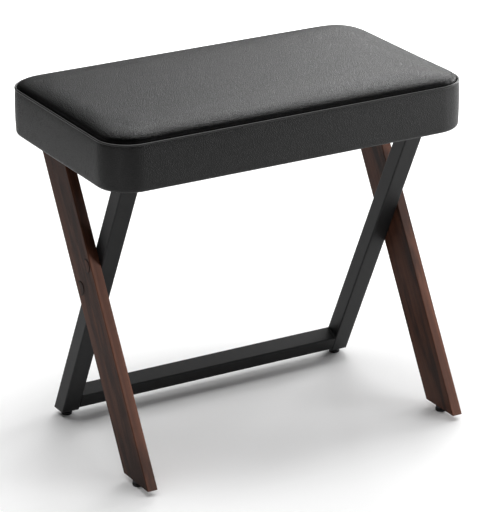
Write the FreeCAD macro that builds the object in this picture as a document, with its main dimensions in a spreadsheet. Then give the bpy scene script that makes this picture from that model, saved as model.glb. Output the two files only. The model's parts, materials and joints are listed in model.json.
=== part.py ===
import FreeCAD, Part
import math
import os

import Sketcher

# Piano bench: a leather cushion seat on two rigid X ends. Each end is a flat
# walnut board crossing a steel tube, and one low tube ties the two ends.
# +Z is up, +X runs along the seat, +Y is the back. The origin is on the floor
# at the centre of the bench's box. Lengths are millimetres, angles degrees.

os.makedirs("parts", exist_ok=True)
doc = FreeCAD.newDocument("piano_bench")
V = FreeCAD.Vector

DIMENSIONS = [
    # the seat
    ("seat_length", 539, "side band, outer length"),
    ("seat_depth", 321, "side band, outer depth"),
    ("seat_corner", 46.5, "side band, corner radius"),
    ("seat_centre_y", 13.6, "seat centre behind the origin"),
    ("seat_underside", 410.5, "height of the seat's lowest face"),
    ("welt_height", 475, "height of the welt's centre line"),
    ("welt_radius", 2, "welt"),
    ("seat_top", 492, "height of the cushion's top"),
    ("leather", 1.2, "leather thickness"),
    ("crown_round", 13, "rounding of the cushion's top edge"),
    ("base_round", 8, "rounding of the side band's lower edge"),
    ("return_width", 28, "leather turned in under the board"),
    ("cloth", 0.5, "dust cover thickness"),
    ("cloth_inset", 14, "dust cover, set in from the side band"),
    ("seat_board_thickness", 15, "plywood seat board"),
    # the X ends
    ("crossing_y", -3.8, "crossing of board and tube, behind the origin"),
    ("crossing_height", 251, "crossing of board and tube, height"),
    ("leg_underside", 8.3, "height of the lower leg ends"),
    ("board_outer_x", 244.4, "outer face of the walnut board from the middle"),
    ("board_thickness", 14.8, "walnut board"),
    ("board_width", 60, "walnut board"),
    ("board_tilt", 29.6, "walnut board, from vertical"),
    ("board_arris", 1.3, "eased edges of the walnut board"),
    ("tube_width", 26, "leg tube, along X"),
    ("tube_depth", 24, "leg tube, front to back"),
    ("tube_tilt", 26.9, "leg tube, from vertical"),
    ("tube_wall", 1.5, "tube wall"),
    ("tube_corner", 2, "tube, outer corner radius"),
    ("stretcher_height", 24, "stretcher tube, along the slope of the legs"),
    ("stretcher_centre", 27, "height of the stretcher's centre line"),
    ("rail_thickness", 4, "steel rail under the seat"),
    ("rail_front", 99.5, "rail, ahead of the seat centre"),
    ("rail_back", 103.5, "rail, behind the seat centre"),
    ("ear_front", 41.5, "rail's ear, front edge behind the seat centre"),
    ("ear_back", 87.5, "rail's ear, back edge behind the seat centre"),
    ("ear_drop", 46, "rail's ear, depth below the seat"),
    ("weld_leg", 2.5, "fillet weld, leg length"),
    # the fasteners
    ("bolt_radius", 3, "every bolt is M6"),
    ("thread_clearance", 0.05, "radial gap in a threaded hole"),
    ("bolt_hole", 3.3, "clearance hole for a bolt"),
    ("bolt_head", 5.5, "button head, radius"),
    ("bolt_head_height", 3.3, "button head"),
    ("washer_radius", 6.5, "washer"),
    ("washer_thickness", 1.2, "washer"),
    ("seat_bolt_y", 38, "seat bolts, each side of their middle"),
    ("seat_bolt_middle", -12.5, "middle of the seat bolts from the seat centre"),
    ("crossing_bolt_offset", 21, "crossing bolts, each side of the crossing"),
    ("plug_radius", 9.5, "wooden cover of a crossing bolt"),
    ("plug_thickness", 4.6, "plug, inside its counterbore"),
    ("plug_proud", 0.7, "plug, outside the board"),
    ("counterbore_depth", 9.2, "counterbore for a crossing bolt"),
    ("ear_bolt_low", 142, "lower ear bolt, along the board from the crossing"),
    ("ear_bolt_high", 164, "upper ear bolt, along the board from the crossing"),
    ("insert_radius", 4.5, "threaded insert in wood"),
    ("insert_length", 10, "threaded insert in wood"),
    # the levelling feet
    ("board_foot_y", -133.9, "feet under the boards, behind the origin"),
    ("tube_foot_y", 119, "feet under the tubes, behind the origin"),
    ("sole_radius", 7.3, "rubber sole"),
    ("sole_thickness", 1.6, "rubber sole"),
    ("pad_radius", 7.6, "foot pad"),
    ("pad_top", 4.6, "height of the pad's top"),
    ("wheel_radius", 7.2, "adjusting wheel on the stud"),
    ("wheel_bottom", 4.9, "height of the wheel's underside"),
    ("wheel_top", 8, "height of the wheel's top"),
    ("ball_radius", 4.5, "stud's flange inside the pad"),
    ("ball_top", 3.35, "height of the flange's top"),
    ("neck_radius", 2.5, "stud between flange and wheel"),
    ("stud_top", 22, "height of the stud's end"),
    ("foot_gap", 0.05, "running gap between stud and pad"),
    ("foot_insert_length", 16, "threaded insert under a board"),
    ("cap_flange", 2.5, "tube end cap, visible rim"),
    ("cap_depth", 15, "tube end cap, plug inside the tube"),
    ("cap_gap", 0.1, "gap between plug and tube wall"),
]

sheet = doc.addObject("Spreadsheet::Sheet", "Dims")
for row, (alias, value, meaning) in enumerate(DIMENSIONS, start=1):
    sheet.set(f"A{row}", alias)
    sheet.set(f"B{row}", str(value))
    sheet.set(f"C{row}", meaning)
    sheet.setAlias(f"B{row}", alias)
doc.recompute()

# Formulas used by several sub-parts, written in the sheet's own names.
BOARD_INNER_X = "(Dims.board_outer_x - Dims.board_thickness)"
TUBE_MIDDLE_X = f"({BOARD_INNER_X} - Dims.tube_width / 2)"
TUBE_INNER_X = f"({BOARD_INNER_X} - Dims.tube_width)"
BOARD_MIDDLE_X = "(Dims.board_outer_x - Dims.board_thickness / 2)"
SEAT_BOARD_BOTTOM = "(Dims.seat_underside + Dims.cloth + Dims.leather)"
SEAT_BOARD_TOP = f"({SEAT_BOARD_BOTTOM} + Dims.seat_board_thickness)"
RAIL_UNDERSIDE = "(Dims.seat_underside - Dims.rail_thickness)"
THREAD_RADIUS = "(Dims.bolt_radius + Dims.thread_clearance)"

nodes = {}


# ---------------------------------------------------------------- helpers

def size(formula):
    """The value of a formula in the sheet's names."""
    value = sheet.evalExpression(formula.replace("Dims.", ""))
    return float(getattr(value, "Value", value))


def new_body(name):
    body = doc.addObject("PartDesign::Body", name)
    body.Label = name
    return body


def origin_feature(body, role):
    return next(f for f in body.Origin.OriginFeatures if f.Role == role)


def new_sketch(body, name, plane, offset="0"):
    """A sketch on one of the body's own planes, moved along its normal."""
    sketch = body.newObject("Sketcher::SketchObject", f"{body.Name}_{name}")
    sketch.AttachmentSupport = [(origin_feature(body, plane), "")]
    sketch.MapMode = "FlatFace"
    sketch.setExpression("AttachmentOffset.Base.z", offset)
    return sketch


def pin(sketch, geometry, point, across, up):
    """Hold one point of a sketch at two formulas from the sketch's origin."""
    for kind, formula in (("DistanceX", across), ("DistanceY", up)):
        index = sketch.addConstraint(
            Sketcher.Constraint(kind, -1, 1, geometry, point, size(formula)))
        sketch.setExpression(f"Constraints[{index}]", formula)


def polygon(sketch, corners):
    """A closed outline whose corners are pairs of formulas."""
    points = [V(size(across), size(up), 0) for across, up in corners]
    count = len(points)
    for k in range(count):
        sketch.addGeometry(Part.LineSegment(points[k], points[(k + 1) % count]))
    for k in range(count):
        sketch.addConstraint(Sketcher.Constraint("Coincident", k, 2, (k + 1) % count, 1))
    for k, (across, up) in enumerate(corners):
        pin(sketch, k, 1, across, up)


def circle(sketch, across, up, radius):
    index = sketch.addGeometry(
        Part.Circle(V(size(across), size(up), 0), V(0, 0, 1), size(radius)))
    pin(sketch, index, 3, across, up)
    held = sketch.addConstraint(Sketcher.Constraint("Radius", index, size(radius)))
    sketch.setExpression(f"Constraints[{held}]", radius)


def rounded_rectangle(sketch, length, depth, radius, across="0", up="0"):
    """A rectangle with round corners, centred on (across, up)."""
    half_x, half_y, corner = size(length) / 2, size(depth) / 2, size(radius)
    middle = V(size(across), size(up), 0)
    first = sketch.GeometryCount
    for quarter in range(4):
        turn = FreeCAD.Rotation(V(0, 0, 1), 90 * quarter)
        reach_x, reach_y = (half_x, half_y) if quarter % 2 == 0 else (half_y, half_x)
        start = middle + turn.multVec(V(reach_x, corner - reach_y, 0))
        end = middle + turn.multVec(V(reach_x, reach_y - corner, 0))
        centre = middle + turn.multVec(V(reach_x - corner, reach_y - corner, 0))
        sketch.addGeometry(Part.LineSegment(start, end))
        arc = Part.Circle(centre, V(0, 0, 1), corner)
        opening = math.radians(90 * quarter)
        sketch.addGeometry(Part.ArcOfCircle(arc, opening, opening + math.pi / 2))
    for k in range(8):
        following = first + (k + 1) % 8
        sketch.addConstraint(Sketcher.Constraint("Tangent", first + k, 2, following, 1))
    sketch.addConstraint(Sketcher.Constraint("Vertical", first))
    for k in (3, 5, 7):
        sketch.addConstraint(Sketcher.Constraint("Equal", first + 1, first + k))
    held = sketch.addConstraint(Sketcher.Constraint("Radius", first + 1, corner))
    sketch.setExpression(f"Constraints[{held}]", radius)
    # the two opposite corner centres fix the rectangle's size and place
    for arc, sign in ((first + 1, "+"), (first + 5, "-")):
        pin(sketch, arc, 3,
            f"{across} {sign} ({length} / 2 - {radius})",
            f"{up} {sign} ({depth} / 2 - {radius})")


def pad(body, sketch, height, lean=None):
    """Pad a sketch along its normal, or along a vector that leans from it."""
    feature = body.newObject("PartDesign::Pad", f"{body.Name}_pad")
    feature.Profile = sketch
    feature.setExpression("Length", height)
    if lean is not None:
        feature.UseCustomVector = True
        feature.Direction = lean
        feature.AlongSketchNormal = True
    doc.recompute()
    return feature


def cut(body, sketch, depth=None):
    """Pocket a sketch to a depth, or right through the body both ways."""
    before = body.Shape.Volume
    feature = body.newObject("PartDesign::Pocket", f"{body.Name}_cut")
    feature.Profile = sketch
    if depth is None:
        feature.Type = "ThroughAll"
        feature.Midplane = True
    else:
        feature.setExpression("Length", depth)
        feature.Reversed = True
    doc.recompute()
    if body.Shape.Volume >= before:
        raise RuntimeError(f"{body.Name}: a pocket cut nothing")
    return feature


def drill(body, plane, offset, centres, radius, depth=None):
    """Round holes of one radius; a blind hole runs along the plane's normal."""
    sketch = new_sketch(body, "holes", plane, offset)
    for across, up in centres:
        circle(sketch, across, up, radius)
    return cut(body, sketch, depth)


def round_edges(body, feature, radius, chosen):
    """Fillet the edges of the feature that the test picks."""
    edges = [f"Edge{k}" for k, edge in enumerate(feature.Shape.Edges, 1) if chosen(edge)]
    fillet = body.newObject("PartDesign::Fillet", f"{body.Name}_round")
    fillet.Base = (feature, edges)
    fillet.setExpression("Radius", radius)
    doc.recompute()
    return fillet


def at_height(height):
    """A test for edges that lie wholly at one height."""
    return lambda edge: (abs(edge.BoundBox.ZMin - height) < 0.01
                         and abs(edge.BoundBox.ZMax - height) < 0.01)


def shell_inward(body, feature, thickness, open_height):
    """Hollow a feature from the flat face at one height."""
    faces = [f"Face{k}" for k, face in enumerate(feature.Shape.Faces, 1)
             if abs(face.CenterOfMass.z - open_height) < 0.01]
    shell = body.newObject("PartDesign::Thickness", f"{body.Name}_shell")
    shell.Base = (feature, faces)
    shell.setExpression("Value", thickness)
    shell.Reversed = True
    shell.Join = 1
    doc.recompute()
    return shell


def turned(name, profile):
    """A body of revolution about Z from (radius, height) formulas."""
    body = new_body(name)
    sketch = new_sketch(body, "profile", "XZ_Plane")
    polygon(sketch, profile)
    feature = body.newObject("PartDesign::Revolution", f"{name}_turn")
    feature.Profile = sketch
    feature.ReferenceAxis = (sketch, ["V_Axis"])
    feature.Angle = 360
    doc.recompute()
    return body


def group(name, pattern, placements):
    """One node of identical pieces: linked copies of a pattern piece."""
    links = []
    for k, placement in enumerate(placements):
        link = doc.addObject("App::Link", f"{name}_{k + 1}")
        link.LinkedObject = pattern
        link.Placement = placement
        links.append(link)
    node = doc.addObject("Part::Compound", name)
    node.Links = links
    node.Label = name
    nodes[name] = node
    return node


def mirrored(name, left):
    """The right-hand twin of a left-hand piece."""
    node = doc.addObject("Part::Mirroring", name)
    node.Source = left
    node.Normal = V(1, 0, 0)
    node.Base = V(0, 0, 0)
    node.Label = name
    nodes[name] = node
    return node


def both_sides(places):
    """Placements of parts on the left and their opposites on the right."""
    result = []
    for position, axis in places:
        for side in (-1, 1):
            spot = V(side * position.x, position.y, position.z)
            direction = V(side * axis.x, axis.y, axis.z)
            result.append(FreeCAD.Placement(spot, FreeCAD.Rotation(V(0, 0, 1), direction)))
    return result


def keep(body):
    nodes[body.Label] = body
    return body


# ------------------------------------------------------------------ seat

SEAT_BOLT_SPOTS = [
    (f"{side} * {TUBE_MIDDLE_X}",
     f"Dims.seat_centre_y + Dims.seat_bolt_middle {sign} Dims.seat_bolt_y")
    for side in (-1, 1) for sign in ("-", "+")]


def seat_outline(body, name, height, inset):
    """The seat's rounded outline at a height, set in from the side band."""
    sketch = new_sketch(body, name, "XY_Plane", height)
    rounded_rectangle(
        sketch, f"(Dims.seat_length - 2 * ({inset}))", f"(Dims.seat_depth - 2 * ({inset}))",
        f"(Dims.seat_corner - ({inset}))", "0", "Dims.seat_centre_y")
    return sketch


def make_seat_board():
    body = new_body("seat_board")
    outline = seat_outline(body, "outline", SEAT_BOARD_BOTTOM, "Dims.leather")
    slab = pad(body, outline, "Dims.seat_board_thickness")
    round_edges(body, slab, "Dims.base_round - Dims.leather",
                at_height(size(SEAT_BOARD_BOTTOM)))
    drill(body, "XY_Plane", SEAT_BOARD_BOTTOM, SEAT_BOLT_SPOTS, "Dims.insert_radius")
    # each tee nut's flange lies in a shallow recess in the top face
    flange_floor = f"{SEAT_BOARD_TOP} - Dims.washer_thickness"
    drill(body, "XY_Plane", flange_floor, SEAT_BOLT_SPOTS, "2 * Dims.insert_radius",
          "Dims.washer_thickness + 1")
    return keep(body)


def make_seat_foam():
    body = new_body("seat_foam")
    outline = seat_outline(body, "outline", SEAT_BOARD_TOP, "Dims.leather")
    top = "(Dims.seat_top - Dims.leather)"
    block = pad(body, outline, f"{top} - {SEAT_BOARD_TOP}")
    round_edges(body, block, "Dims.crown_round - Dims.leather", at_height(size(top)))
    return keep(body)


def make_top_panel():
    """The leather over the top, down to the welt."""
    body = new_body("cover_top_panel")
    seam = "(Dims.welt_height + Dims.welt_radius)"
    outline = seat_outline(body, "outline", seam, "0")
    block = pad(body, outline, f"Dims.seat_top - {seam}")
    crown = round_edges(body, block, "Dims.crown_round", at_height(size("Dims.seat_top")))
    shell_inward(body, crown, "Dims.leather", size(seam))
    return keep(body)


def make_side_band():
    """The leather round the sides, from the welt to under the board."""
    body = new_body("cover_side_band")
    bottom = "(Dims.seat_underside + Dims.cloth)"
    seam = "(Dims.welt_height - Dims.welt_radius)"
    outline = seat_outline(body, "outline", bottom, "0")
    block = pad(body, outline, f"{seam} - {bottom}")
    rounded = round_edges(body, block, "Dims.base_round", at_height(size(bottom)))
    shell_inward(body, rounded, "Dims.leather", size(seam))
    cut(body, seat_outline(body, "opening", bottom, "Dims.return_width"), "3 * Dims.leather")
    return keep(body)


def make_welt():
    """The piping sewn between top panel and side band."""
    body = new_body("welt")
    route = seat_outline(body, "route", "Dims.welt_height", "0.4")
    section = new_sketch(body, "section", "XZ_Plane", "-Dims.seat_centre_y")
    circle(section, "Dims.seat_length / 2 - 0.4", "Dims.welt_height", "Dims.welt_radius")
    feature = body.newObject("PartDesign::AdditivePipe", "welt_pipe")
    feature.Profile = section
    feature.Spine = (route, [f"Edge{k}" for k in range(1, 9)])
    doc.recompute()
    return keep(body)


def make_dust_cover():
    """Black cloth closing the seat's underside."""
    body = new_body("dust_cover")
    outline = seat_outline(body, "outline", "Dims.seat_underside", "Dims.cloth_inset")
    pad(body, outline, "Dims.cloth")
    drill(body, "XY_Plane", "Dims.seat_underside", SEAT_BOLT_SPOTS, "Dims.insert_radius")
    return keep(body)


def make_tee_nuts():
    """Flanged nuts let into the seat board's top for the seat bolts."""
    low = "(Dims.seat_board_thickness - 2)"
    nut = turned("tee_nut_pattern", [
        (THREAD_RADIUS, f"-{low}"), ("Dims.insert_radius", f"-{low}"),
        ("Dims.insert_radius", "-Dims.washer_thickness"),
        ("2 * Dims.insert_radius", "-Dims.washer_thickness"),
        ("2 * Dims.insert_radius", "0"), (THREAD_RADIUS, "0")])
    top = size(SEAT_BOARD_TOP)
    spots = [V(size(x), size(y), top) for x, y in SEAT_BOLT_SPOTS]
    group("tee_nuts", nut, [FreeCAD.Placement(p, FreeCAD.Rotation()) for p in spots])


def make_staples():
    """Staples that hold the turned-in leather and the dust cover."""
    body = new_body("staple_pattern")
    crown, wire, leg = 10, 0.6, 8
    sketch = new_sketch(body, "outline", "XZ_Plane")
    half = crown / 2
    polygon(sketch, [(str(x), str(z)) for x, z in (
        (-half, -wire), (half, -wire), (half, leg), (half - wire, leg),
        (half - wire, 0), (wire - half, 0), (wire - half, leg), (-half, leg))])
    pad(body, sketch, "1")
    inset = 20
    reach_x = size("Dims.seat_length") / 2 - inset
    reach_y = size("Dims.seat_depth") / 2 - inset
    centre_y, height = size("Dims.seat_centre_y"), size("Dims.seat_underside")
    placements = []
    for side in (-1, 1):
        for k in range(-4, 5):
            spot = V(50 * k, centre_y + side * reach_y, height)
            placements.append(FreeCAD.Placement(spot, FreeCAD.Rotation()))
        for k in range(-2, 3):
            spot = V(side * reach_x, centre_y + 45 * k, height)
            placements.append(FreeCAD.Placement(spot, FreeCAD.Rotation(V(0, 0, 1), 90)))
    group("staples", body, placements)


# ---------------------------------------------------------------- X ends

def lean_vector(tilt, toward):
    angle = math.radians(size(tilt))
    return V(0, toward * math.sin(angle), math.cos(angle))


BOARD_LEAN = lean_vector("Dims.board_tilt", 1)
TUBE_LEAN = lean_vector("Dims.tube_tilt", -1)


def board_y(height):
    """Centre line of the board: its Y at a height."""
    return f"(Dims.crossing_y + ({height} - Dims.crossing_height) * tan(Dims.board_tilt))"


def tube_y(height):
    """Centre line of the leg tube: its Y at a height."""
    return f"(Dims.crossing_y - ({height} - Dims.crossing_height) * tan(Dims.tube_tilt))"


# bolt centres as (Y, Z) formulas
CROSSING_BOLTS = [
    (f"Dims.crossing_y {back} Dims.crossing_bolt_offset * sin(Dims.tube_tilt)",
     f"Dims.crossing_height {up} Dims.crossing_bolt_offset * cos(Dims.tube_tilt)")
    for back, up in (("-", "+"), ("+", "-"))]
EAR_BOLTS = [
    (f"Dims.crossing_y + {reach} * sin(Dims.board_tilt)",
     f"Dims.crossing_height + {reach} * cos(Dims.board_tilt)")
    for reach in ("Dims.ear_bolt_low", "Dims.ear_bolt_high")]


def make_board_leg():
    body = new_body("left_board_leg")
    section = new_sketch(body, "section", "XY_Plane", "Dims.leg_underside")
    rounded_rectangle(
        section, "Dims.board_thickness", "(Dims.board_width / cos(Dims.board_tilt))",
        "Dims.board_arris", f"-{BOARD_MIDDLE_X}", board_y("Dims.leg_underside"))
    board = pad(body, section, "Dims.seat_underside - Dims.leg_underside", BOARD_LEAN)
    round_edges(body, board, "Dims.board_arris / 2", at_height(size("Dims.leg_underside")))
    outer, inner = "-Dims.board_outer_x", f"-{BOARD_INNER_X}"
    drill(body, "YZ_Plane", outer, CROSSING_BOLTS, "Dims.plug_radius",
          "Dims.counterbore_depth")
    drill(body, "YZ_Plane", outer, CROSSING_BOLTS, "Dims.bolt_hole", "Dims.board_thickness")
    drill(body, "YZ_Plane", f"{inner} - Dims.insert_length", EAR_BOLTS,
          "Dims.insert_radius", "Dims.insert_length")
    drill(body, "XY_Plane", "Dims.leg_underside", [(f"-{BOARD_MIDDLE_X}", "Dims.board_foot_y")],
          "Dims.insert_radius", "Dims.foot_insert_length")
    keep(body)
    mirrored("right_board_leg", body)


def tube_section(body, name, height, wall, gap="0"):
    """A level cut through the leg tube, set in from its outer faces."""
    sketch = new_sketch(body, name, "XY_Plane", height)
    inset = f"2 * ({wall} + {gap})"
    rounded_rectangle(
        sketch, f"(Dims.tube_width - {inset})",
        f"((Dims.tube_depth - {inset}) / cos(Dims.tube_tilt))",
        f"(Dims.tube_corner - {wall} / 2)", f"-{TUBE_MIDDLE_X}", tube_y(height))
    return sketch


def make_tube_leg():
    body = new_body("left_tube_leg")
    bottom = "(Dims.leg_underside + Dims.cap_flange)"
    height = f"{RAIL_UNDERSIDE} - {bottom}"
    pad(body, tube_section(body, "outside", bottom, "0"), height, TUBE_LEAN)
    bore = body.newObject("PartDesign::Pocket", "left_tube_leg_bore")
    bore.Profile = tube_section(body, "inside", bottom, "Dims.tube_wall")
    bore.UseCustomVector = True
    bore.Direction = TUBE_LEAN
    bore.AlongSketchNormal = True
    bore.setExpression("Length", height)
    bore.Reversed = False
    doc.recompute()
    if bore.Shape.Volume > 0.5 * bore.BaseFeature.Shape.Volume:
        raise RuntimeError("left_tube_leg: the bore cut nothing")
    drill(body, "YZ_Plane", f"-{BOARD_INNER_X}", CROSSING_BOLTS, "Dims.insert_radius",
          "Dims.tube_wall + 1")
    keep(body)
    mirrored("right_tube_leg", body)


def make_stretcher():
    """The low tube between the two leg tubes, turned to their slope."""
    body = new_body("stretcher")
    for name, inset, action in (("outside", "0", pad), ("inside", "Dims.tube_wall", cut)):
        sketch = new_sketch(body, name, "YZ_Plane", f"-{TUBE_INNER_X}")
        rounded_rectangle(
            sketch, f"(Dims.tube_depth - 2 * {inset})", f"(Dims.stretcher_height - 2 * {inset})",
            f"(Dims.tube_corner - {inset} / 2)")
        action(body, sketch, f"2 * {TUBE_INNER_X}")
    body.Placement = FreeCAD.Placement(V(0, 0, 0), FreeCAD.Rotation(V(1, 0, 0), size("Dims.tube_tilt")))
    body.setExpression("Placement.Base.y", tube_y("Dims.stretcher_centre"))
    body.setExpression("Placement.Base.z", "Dims.stretcher_centre")
    doc.recompute()
    return keep(body)


def make_seat_rail():
    """Flat bar under the seat, welded on the tube; its ear takes the board."""
    body = new_body("left_seat_rail")
    low_x, high_x = f"-{BOARD_INNER_X}", f"-{TUBE_INNER_X}"
    front = "(Dims.seat_centre_y - Dims.rail_front - Dims.tube_depth / 2)"
    back = "(Dims.seat_centre_y + Dims.rail_back)"
    bar = new_sketch(body, "bar", "XY_Plane", RAIL_UNDERSIDE)
    polygon(bar, [(low_x, front), (high_x, front), (high_x, back), (low_x, back)])
    pad(body, bar, "Dims.rail_thickness")
    ear_bottom = "(Dims.seat_underside - Dims.ear_drop)"
    ear_front = "(Dims.seat_centre_y + Dims.ear_front)"
    ear_back = "(Dims.seat_centre_y + Dims.ear_back)"
    ear = new_sketch(body, "ear", "YZ_Plane", low_x)
    polygon(ear, [(ear_front, ear_bottom), (ear_back, ear_bottom),
                  (ear_back, RAIL_UNDERSIDE), (ear_front, RAIL_UNDERSIDE)])
    pad(body, ear, "Dims.rail_thickness")
    drill(body, "XY_Plane", RAIL_UNDERSIDE, SEAT_BOLT_SPOTS[:2], "Dims.bolt_hole",
          "Dims.rail_thickness")
    drill(body, "YZ_Plane", low_x, EAR_BOLTS, "Dims.bolt_hole", "Dims.rail_thickness")
    keep(body)
    mirrored("right_seat_rail", body)


def make_weld_beads():
    """Fillet welds above and below the stretcher, at each leg tube."""
    body = new_body("weld_pattern")
    sketch = new_sketch(body, "section", "XZ_Plane")
    polygon(sketch, [("0", "0"), ("Dims.weld_leg", "0"), ("0", "Dims.weld_leg")])
    pad(body, sketch, "Dims.tube_depth - 2 * Dims.tube_corner")
    slope = FreeCAD.Rotation(V(1, 0, 0), size("Dims.tube_tilt"))
    middle = V(0, size(tube_y("Dims.stretcher_centre")), size("Dims.stretcher_centre"))
    reach = size(TUBE_INNER_X)
    rise = size("Dims.stretcher_height / 2")
    half_run = size("Dims.tube_depth / 2 - Dims.tube_corner")
    placements = []
    for side in (-1, 1):
        for above in (-1, 1):
            # turned about the vertical or the run so that it fills its corner
            turn = FreeCAD.Rotation(V(0, 0, 1), 180) if side > 0 else FreeCAD.Rotation()
            if above < 0:
                turn = turn.multiply(FreeCAD.Rotation(V(1, 0, 0), 180))
            direction = turn.multVec(V(0, -1, 0)).y
            corner = V(side * reach, -direction * half_run, above * rise)
            placements.append(FreeCAD.Placement(
                middle + slope.multVec(corner), slope.multiply(turn)))
    group("weld_beads", body, placements)


def make_tube_cap():
    """Plastic plug in a leg tube's lower end, threaded for the foot."""
    body = new_body("left_tube_cap")
    rim_top = "(Dims.leg_underside + Dims.cap_flange)"
    rim = tube_section(body, "rim", "Dims.leg_underside", "0")
    pad(body, rim, "Dims.cap_flange", TUBE_LEAN)
    plug = tube_section(body, "plug", rim_top, "Dims.tube_wall", "Dims.cap_gap")
    pad(body, plug, "Dims.cap_depth", TUBE_LEAN)
    drill(body, "XY_Plane", "Dims.leg_underside", [(f"-{TUBE_MIDDLE_X}", "Dims.tube_foot_y")],
          THREAD_RADIUS, "Dims.foot_insert_length")
    keep(body)
    mirrored("right_tube_cap", body)


# -------------------------------------------------------------- fasteners

def button_bolt(name, length):
    """A button-head bolt: shank up +Z from the head's underside at 0."""
    body = turned(name, [
        ("0", "-Dims.bolt_head_height"), ("Dims.bolt_head * 0.6", "-Dims.bolt_head_height"),
        ("Dims.bolt_head", "-Dims.bolt_head_height * 0.4"), ("Dims.bolt_head", "0"),
        ("Dims.bolt_radius", "0"), ("Dims.bolt_radius", f"{length} - 0.8"),
        ("Dims.bolt_radius - 0.8", length), ("0", length)])
    socket = new_sketch(body, "socket", "XY_Plane", "-Dims.bolt_head_height")
    half_flats = 2
    corner = half_flats / math.cos(math.radians(30))
    points = [(math.cos(math.radians(60 * k)), math.sin(math.radians(60 * k))) for k in range(6)]
    polygon(socket, [(str(corner * x), str(corner * y)) for x, y in points])
    cut(body, socket, "Dims.bolt_head_height * 0.6")
    return body


def tube_of(name, inner, outer, length):
    """A plain ring from 0 up to a length: washer, insert or rivet nut."""
    return turned(name, [(inner, "0"), (outer, "0"), (outer, length), (inner, length)])


def spots(x_formula, centres, axis):
    return [(V(size(x_formula), size(y), size(z)), axis) for y, z in centres]


def make_seat_bolts():
    under_washer = f"{RAIL_UNDERSIDE} - Dims.washer_thickness"
    places = [(V(size(TUBE_MIDDLE_X), size(y), size(under_washer)), V(0, 0, 1))
              for _, y in SEAT_BOLT_SPOTS[:2]]
    bolt = button_bolt("seat_bolt_pattern", "20")
    group("seat_bolts", bolt, both_sides(places))
    washer = tube_of("washer_pattern", "Dims.bolt_hole", "Dims.washer_radius",
                     "Dims.washer_thickness")
    group("seat_washers", washer, both_sides(places))
    return washer


def make_crossing_fixings(washer):
    """Bolt, washer, rivet nut and wooden plug at each crossing bolt."""
    inward = V(-1, 0, 0)
    washer_face = "(Dims.board_outer_x - Dims.counterbore_depth + Dims.washer_thickness)"
    bolt = button_bolt("crossing_bolt_pattern", "17")
    group("crossing_bolts", bolt, both_sides(spots(washer_face, CROSSING_BOLTS, inward)))
    group("crossing_washers", washer, both_sides(spots(washer_face, CROSSING_BOLTS, inward)))
    nut = turned("rivet_nut_pattern", [
        (THREAD_RADIUS, "0"), ("Dims.insert_radius", "0"),
        ("Dims.insert_radius", "Dims.tube_wall"), ("1.35 * Dims.insert_radius", "Dims.tube_wall"),
        ("1.35 * Dims.insert_radius", "Dims.tube_wall + 2.5"),
        ("Dims.insert_radius", "Dims.tube_wall + 3.5"), ("Dims.insert_radius", "13"),
        (THREAD_RADIUS, "13")])
    group("rivet_nuts", nut, both_sides(spots(BOARD_INNER_X, CROSSING_BOLTS, inward)))
    plug = turned("plug_pattern", [
        ("0", "0"), ("Dims.plug_radius - 0.5", "0"),
        ("Dims.plug_radius", "Dims.plug_proud * 0.7"),
        ("Dims.plug_radius", "Dims.plug_proud + Dims.plug_thickness"),
        ("0", "Dims.plug_proud + Dims.plug_thickness")])
    proud_face = "Dims.board_outer_x + Dims.plug_proud"
    places = both_sides(spots(proud_face, CROSSING_BOLTS, inward))
    # both_sides lists each spot's left placement, then its right one
    group("left_bolt_covers", plug, places[0::2])
    group("right_bolt_covers", plug, places[1::2])


def make_ear_fixings(washer):
    """Bolts through each rail's ear into threaded inserts in the board."""
    outward = V(1, 0, 0)
    head_seat = f"({BOARD_INNER_X} - Dims.rail_thickness - Dims.washer_thickness)"
    bolt = button_bolt("ear_bolt_pattern", "14")
    group("ear_bolts", bolt, both_sides(spots(head_seat, EAR_BOLTS, outward)))
    group("ear_washers", washer, both_sides(spots(head_seat, EAR_BOLTS, outward)))
    insert = tube_of("insert_pattern", THREAD_RADIUS, "Dims.insert_radius",
                     "Dims.insert_length")
    group("board_inserts", insert, both_sides(spots(BOARD_INNER_X, EAR_BOLTS, outward)))


# --------------------------------------------------------- levelling feet

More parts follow.
